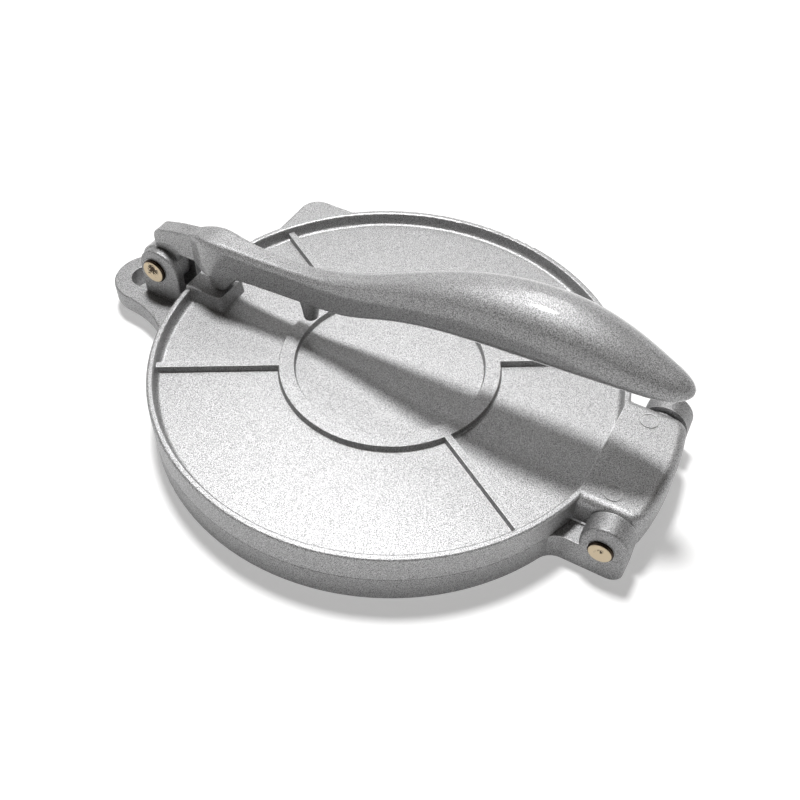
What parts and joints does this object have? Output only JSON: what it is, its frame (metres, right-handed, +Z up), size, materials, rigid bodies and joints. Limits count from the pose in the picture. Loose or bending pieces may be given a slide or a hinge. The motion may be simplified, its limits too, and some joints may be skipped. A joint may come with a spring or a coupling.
{
  "type": "tortilla press",
  "caption": "Hand press for flattening dough: two hinged round cast plates, the upper one pushed down by a cam on a long folding lever.",
  "frame": {"origin": "on the table, under the middle of the closed press", "axes": "+X from the lever's pivot to the plates' hinge, +Y across to the side with the lift tab, +Z up from the table"},
  "size_m": [0.276, 0.206, 0.0908],
  "materials": {
    "base_casting": "sand-cast, silver hammered coating",
    "top_plate": "sand-cast, silver hammered coating",
    "lever": "sand-cast, smoother silver coating",
    "pins": "brass-coloured plated pin, peened ends"
  },
  "bodies": {
    "base": {"base_casting": "base_casting", "lever_pin": "pins", "hinge_pin": "pins"},
    "lever": {"lever": "lever"},
    "top_plate": {"top_plate": "top_plate"}
  },
  "joints": [
    {"name": "lever_pivot", "type": "hinge", "parent": "base", "child": "lever", "pos_m": [-0.10815, 0, 0.0305], "axis": [0, -1, 0], "range_deg": [0, 148]},
    {"name": "plate_hinge", "type": "hinge", "parent": "base", "child": "top_plate", "pos_m": [0.12475, 0, 0.0162], "axis": [0, 1, 0], "range_deg": [0, 108]}
  ],
  "couplings": [
    {"joint": "plate_hinge", "follows": "lever_pivot", "ratio": 0.12}
  ]
}
